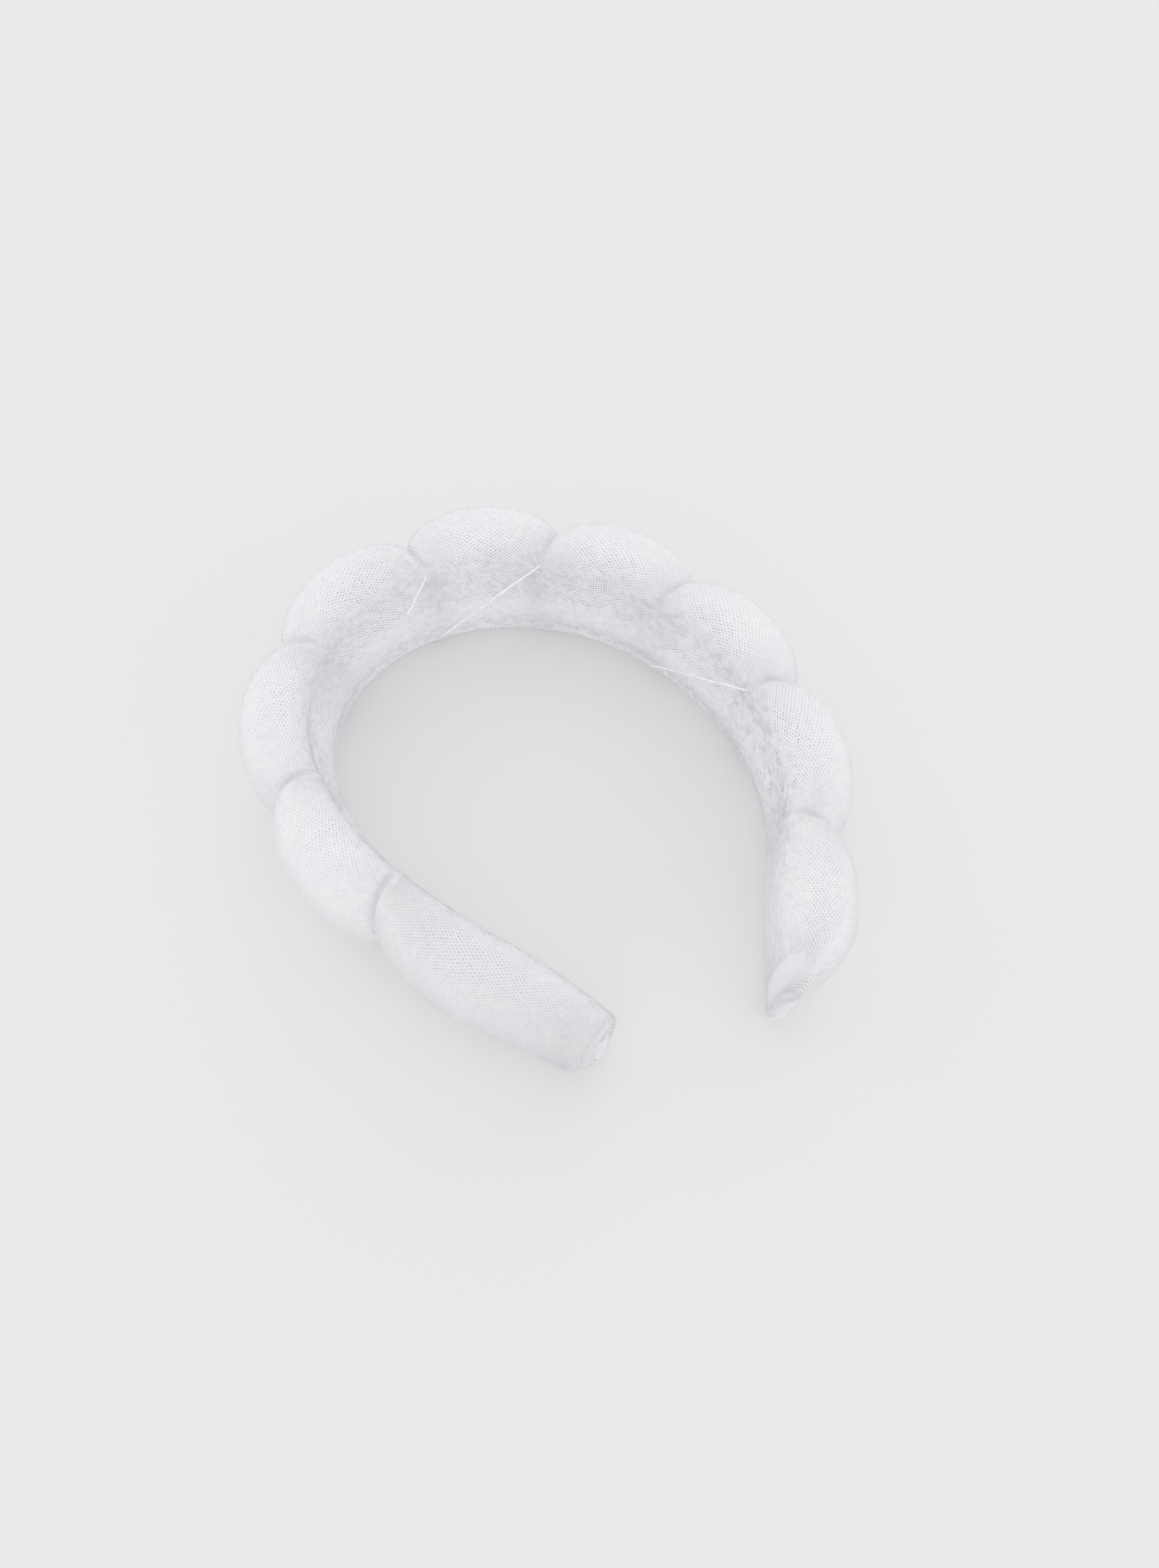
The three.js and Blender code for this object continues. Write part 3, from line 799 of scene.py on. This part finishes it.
def inner_column(height):
    """The column whose height is nearest on the inner face, in the middle of the band."""
    ring = smooth_sheet[middle_rows[LOBES // 2] * REFINE_ALONG]
    miss = np.abs(ring[:, 2] - height)
    return int(np.argmin(np.where(np.cos(fine_turns) < 0, miss, np.inf)))


# The knit is stretched most where the sleeve dips above the hoop, and again near the floor, and painted
# shade darkens it there.
STRETCH_AND_SHADE_COLUMN = inner_column(LOBE_DEPTH / 2 - REST_SINK + UPPER_DIP["height"])
LOWER_STRETCH_AND_SHADE_COLUMN = inner_column(6 * MM)
FIRST_PINCH_ROW = TIP_RINGS + int(np.argmin(np.abs(fine_s - edges[1])))
middle_sheet_rows = [TIP_RINGS + row * REFINE_ALONG for row in middle_rows]

terry = terry_material()
nylon = nylon_material()
plastic = plastic_material()
thread = thread_material()


def sleeve_piece(name, first, last):
    """One stretch of the sleeve, from its first row to its last, as a closed mesh. Its sides keep
    the whole sleeve's normals, so that no edge shows where two pieces meet."""
    rows = last - first + 1
    grid = sheet[first : last + 1]
    points = list(grid.reshape(-1, 3))
    faces = list(grid_faces(rows, FINE_COLUMNS))
    side_faces = len(faces)
    for row, backwards in ((0, True), (rows - 1, False)):
        centre = len(points)
        points.append(grid[row].mean(axis=0))
        for column in range(FINE_COLUMNS):
            here = row * FINE_COLUMNS + column
            beside = row * FINE_COLUMNS + (column + 1) % FINE_COLUMNS
            faces.append((centre, beside, here) if backwards else (centre, here, beside))
    piece = new_object(name, points, faces)
    mesh = piece.data
    corners = np.zeros(len(mesh.loops), int)
    mesh.loops.foreach_get("vertex_index", corners)
    corner_face = np.repeat(np.arange(len(faces)), [len(face) for face in faces])
    on_side = corner_face < side_faces

    # Where the grid closes on itself, the Knit UV counts on to one column past the last.
    corner_row, corner_column = np.divmod(corners, FINE_COLUMNS)
    corner_row = np.minimum(corner_row, rows - 1)
    in_last_column = on_side & (corner_face % FINE_COLUMNS == FINE_COLUMNS - 1)
    corner_column[in_last_column & (corner_column == 0)] = FINE_COLUMNS
    knit = np.column_stack([first + corner_row, corner_column]).astype(float)
    mesh.uv_layers.new(name="Knit").data.foreach_set("uv", knit.ravel())

    face_normals = np.zeros(len(faces) * 3)
    mesh.polygons.foreach_get("normal", face_normals)
    corner_normals = face_normals.reshape(-1, 3)[corner_face]
    corner_normals[on_side] = normals[first : last + 1].reshape(-1, 3)[corners[on_side]]
    mesh.normals_split_custom_set([tuple(n) for n in corner_normals])
    mesh.materials.append(terry)
    return piece


for pinch in range(1, LOBES):
    first = 0 if pinch == 1 else middle_sheet_rows[pinch - 1]
    last = len(sheet) - 1 if pinch == LOBES - 1 else middle_sheet_rows[pinch]
    sleeve = sleeve_piece(f"terry_sleeve_{pinch}", first, last)
    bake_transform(sleeve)
    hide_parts(f"sleeve_lobe_{pinch}", f"foam_lobe_{pinch}")
    if pinch == LOBES - 1:
        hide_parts(f"sleeve_lobe_{LOBES}", f"foam_lobe_{LOBES}")

# ---- The nylon line and the end stitches ----

TUBE_SIDES = 10
NO_TUBE_STARTS_THIS_WAY = (0.3, 0.2, 0.9)  # so that it always gives a tube's first side


def on_sleeve(s, turn, lift):
    """A point at a distance along the hoop and a turn round the section, lifted off the sleeve."""
    row = np.interp(s, fine_s, np.arange(len(fine_s)))
    turns = [*fine_turns, 2 * np.pi]
    column = np.interp(turn % (2 * np.pi), turns, np.arange(len(turns))) % FINE_COLUMNS
    r, c = min(int(row), len(fine_s) - 2), int(column)
    ahead, beside = row - r, column - c
    next_column = (c + 1) % FINE_COLUMNS
    near, far = (mix(ring[c], ring[next_column], beside) for ring in smooth_sheet[r : r + 2])
    return mix(near, far, ahead) + normals[TIP_RINGS + r, c] * lift


def tube(name, points, diameter, look):
    """A round closed tube through points, with its sides kept from twisting."""
    points = np.array(points)
    forward = np.gradient(points, axis=0)
    forward /= np.linalg.norm(forward, axis=1, keepdims=True)
    side = np.cross(forward[0], NO_TUBE_STARTS_THIS_WAY)
    rings = []
    turns = np.arange(TUBE_SIDES) * 2 * np.pi / TUBE_SIDES
    for point, ahead in zip(points, forward):
        side = side - ahead * side.dot(ahead)
        side /= np.linalg.norm(side)
        other = np.cross(ahead, side)
        spokes = np.cos(turns)[:, None] * side + np.sin(turns)[:, None] * other
        rings.append(point + spokes * diameter / 2)
    count = len(points)
    faces = [tuple(face) for face in grid_faces(count, TUBE_SIDES)]
    faces.append(tuple(range(TUBE_SIDES))[::-1])
    faces.append(tuple(range((count - 1) * TUBE_SIDES, count * TUBE_SIDES)))
    obj = new_object(name, np.array(rings).reshape(-1, 3), faces)
    obj.data.materials.append(look)
    return obj


# Turns round the section, from the middle of the outside, upwards and on over the inner face.
LINE_CORNER = math.radians(137)
LANDING_TURN = math.radians(205)
KNOT_TURN = math.radians(-112)

# Lobes counted from 0 at the left tip. The line crosses the open ones in the air.
CROWN_LOBE = LOBES_LEFT_OF_CROWN
OPEN_LOBES = (CROWN_LOBE, CROWN_LOBE + 2)
HALF_OPEN_LOBE = CROWN_LOBE - 1

# How far the middle of the line, or of a knot, is above the sleeve.
LINE_REST, LINE_SUNK, KNOT_LIFT = 0.25 * MM, -0.2 * MM, 0.8 * MM

LOOP_STEPS, CROSSING_STEPS, KNOT_STEPS = 90, 24, 60
KNOT_SCALE = 0.35 * MM
KNOT_OPENING = 0.3


def taut(start, end):
    """A straight stretch of line between two points."""
    return [mix(start, end, share) for share in np.linspace(0, 1, CROSSING_STEPS)]


def pressed_in(start, end):
    """A stretch of line pressed into the sleeve, between two places given as distance and turn."""
    shares = np.linspace(0, 1, CROSSING_STEPS)
    return [on_sleeve(*mix(np.array(start), np.array(end), share), LINE_SUNK) for share in shares]


def crossing(lobe):
    """The line's way over a lobe's inner face, from the top of the pinch after it to the bottom of
    the pinch before it, as two stretches that meet at the lobe's middle."""
    after, before = edges[lobe + 1], edges[lobe]
    middle = s_rows[middle_rows[lobe]]
    top, bottom = LINE_CORNER, 2 * math.pi - LINE_CORNER
    top_end = on_sleeve(after, top, LINE_REST)
    if lobe in OPEN_LOBES:
        bottom_end = on_sleeve(before, bottom, LINE_REST)
        halfway = mix(top_end, bottom_end, 0.5)
        return taut(top_end, halfway), taut(halfway, bottom_end)
    if lobe == HALF_OPEN_LOBE:
        landing = on_sleeve(middle, LANDING_TURN, LINE_SUNK)
        return taut(top_end, landing), pressed_in((middle, LANDING_TURN), (before, bottom))
    down = pressed_in((after, top), (after, bottom))
    to_middle = pressed_in((after, bottom), (middle, bottom))
    return down + to_middle[1:], pressed_in((middle, bottom), (before, bottom))


def knot(place):
    """A small overhand knot in the line, as a path round a place."""
    turns = np.linspace(KNOT_OPENING, 2 * np.pi - KNOT_OPENING, KNOT_STEPS)
    across = np.sin(turns) + 2 * np.sin(2 * turns)
    up = np.cos(turns) - 2 * np.cos(2 * turns)
    deep = -np.sin(3 * turns)
    return list(place + KNOT_SCALE * np.column_stack([across, deep, up]))


for pinch in range(1, LOBES):
    at = edges[pinch]
    path = []
    if pinch < LOBES - 1:
        path += crossing(pinch)[1][:-1]
    else:
        path += knot(on_sleeve(at, KNOT_TURN, KNOT_LIFT))
    first_turn = -LINE_CORNER if pinch < LOBES - 1 else KNOT_TURN
    for turn in np.linspace(first_turn, LINE_CORNER, LOOP_STEPS):
        path.append(on_sleeve(at, turn, LINE_SUNK))
    if pinch > 1:
        path += crossing(pinch - 1)[0][1:]
    else:
        path += pressed_in((at, LINE_CORNER), (at, 2 * math.pi + KNOT_TURN))[1:]
        path += knot(on_sleeve(at, KNOT_TURN, KNOT_LIFT))
    line = tube(f"nylon_line_{pinch}", path, LINE_DIAMETER, nylon)
    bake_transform(line)
    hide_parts(f"binding_line_{pinch}")

WHIP_STITCHES = 8
WHIP_STEPS = 12
WHIP_REACH, WHIP_RISE, WHIP_SINK = 1.7 * MM, 0.7 * MM, 0.35 * MM
WHIP_SHARE = 0.92  # of the slit's height


def end_stitches(side, end_row):
    """One thread that whips over the slit at a tip, from its bottom to its top."""
    direction, outward = TIP_DIRECTIONS[side]
    slit = sheet[end_row]
    middle = (slit.max(axis=0) + slit.min(axis=0)) / 2
    rise = (slit[:, 2].max() - slit[:, 2].min()) * WHIP_SHARE
    path = []
    for stitch in range(WHIP_STITCHES):
        for step in range(WHIP_STEPS):
            turn = 2 * math.pi * step / WHIP_STEPS
            share = (stitch + step / WHIP_STEPS) / WHIP_STITCHES
            sideways = outward * -math.cos(turn) * WHIP_REACH
            arch = direction * (math.sin(turn) * WHIP_RISE - WHIP_SINK)
            path.append(middle + sideways + arch + np.array([0, 0, (share - 0.5) * rise]))
    return tube(f"tip_stitches_{side}", path, STITCH_DIAMETER, thread)


for side, end_row, body in (("left", 0, "lobe_1"), ("right", -1, f"lobe_{LOBES}")):
    stitches = end_stitches(side, end_row)
    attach(stitches, body)
    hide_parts(f"end_stitch_{side}")

# ---- CAD pieces that stay ----

for name, node in frame["nodes"].items():
    if name.startswith("hoop_segment"):
        node.data.materials.clear()
        node.data.materials.append(plastic)

# ---- Floor, light and camera ----

FLOOR_SIZE = 40
FLOOR_COLOUR = srgb(225.3, 224.8, 223.2)
SKY_COLOUR = (0.99, 0.99, 1.0, 1.0)
SKY_STRENGTH = 0.62
SUN_SOFTNESS = math.radians(60)
LIGHT_LEVEL = 1.04

CAMERA_AZIMUTH = math.radians(-21.7)
CAMERA_ELEVATION = math.radians(65.9)
CAMERA_DISTANCE = 277 * MM
CAMERA_LENS = 23.8
AIM_OFF_CENTRE = Vector((6.9 * MM, -6.6 * MM, -0.7 * MM))

bpy.ops.mesh.primitive_plane_add(size=FLOOR_SIZE, location=(0, 0, 0))
floor = bpy.context.object
floor.name = "floor"
floor_look = Nodes("floor_look")
floor_look.shader.inputs["Base Color"].default_value = FLOOR_COLOUR
floor_look.shader.inputs["Roughness"].default_value = 0.7
floor.data.materials.append(floor_look.material)

world = bpy.data.worlds.new("studio")
bpy.context.scene.world = world
world.use_nodes = True
sky = world.node_tree.nodes["Background"]
sky.inputs["Color"].default_value = SKY_COLOUR
sky.inputs["Strength"].default_value = SKY_STRENGTH


def add_sun(name, direction, strength, shadow=False):
    """Distant light from a direction; without a shadow it only fills."""
    light = bpy.data.lights.new(name, "SUN")
    light.angle = SUN_SOFTNESS
    light.energy = strength * LIGHT_LEVEL
    light.use_shadow = shadow
    sun = bpy.data.objects.new(name, light)
    sun.rotation_euler = (-Vector(direction)).to_track_quat("-Z", "Y").to_euler()
    bpy.context.scene.collection.objects.link(sun)


add_sun("window", (0.25, 0.9, 1.3), strength=0.2, shadow=True)
add_sun("front_fill", (0.35, -1.0, 0.35), strength=0.15)
add_sun("overhead_fill", (0.0, 0.0, 1.0), strength=0.3)
for number in range(4):
    azimuth = math.radians(45 + 90 * number)
    direction = (math.cos(azimuth), math.sin(azimuth), 0.4)
    add_sun(f"side_fill_{number + 1}", direction, strength=0.45)
bpy.context.scene.view_settings.view_transform = "Standard"
bpy.context.scene.view_settings.gamma = 1.4

camera_data = bpy.data.cameras.new("camera")
camera_data.lens = CAMERA_LENS
camera = bpy.data.objects.new("camera", camera_data)
bpy.context.scene.collection.objects.link(camera)
back = Vector((
    math.sin(CAMERA_AZIMUTH) * math.cos(CAMERA_ELEVATION),
    -math.cos(CAMERA_AZIMUTH) * math.cos(CAMERA_ELEVATION),
    math.sin(CAMERA_ELEVATION),
))
low, high = (Vector(corner) for corner in cad_box)
camera.location = (low + high) / 2 + AIM_OFF_CENTRE + back * CAMERA_DISTANCE
camera.rotation_euler = (-back).to_track_quat("-Z", "Y").to_euler()
camera_data.clip_start = 0.01
bpy.context.scene.camera = camera
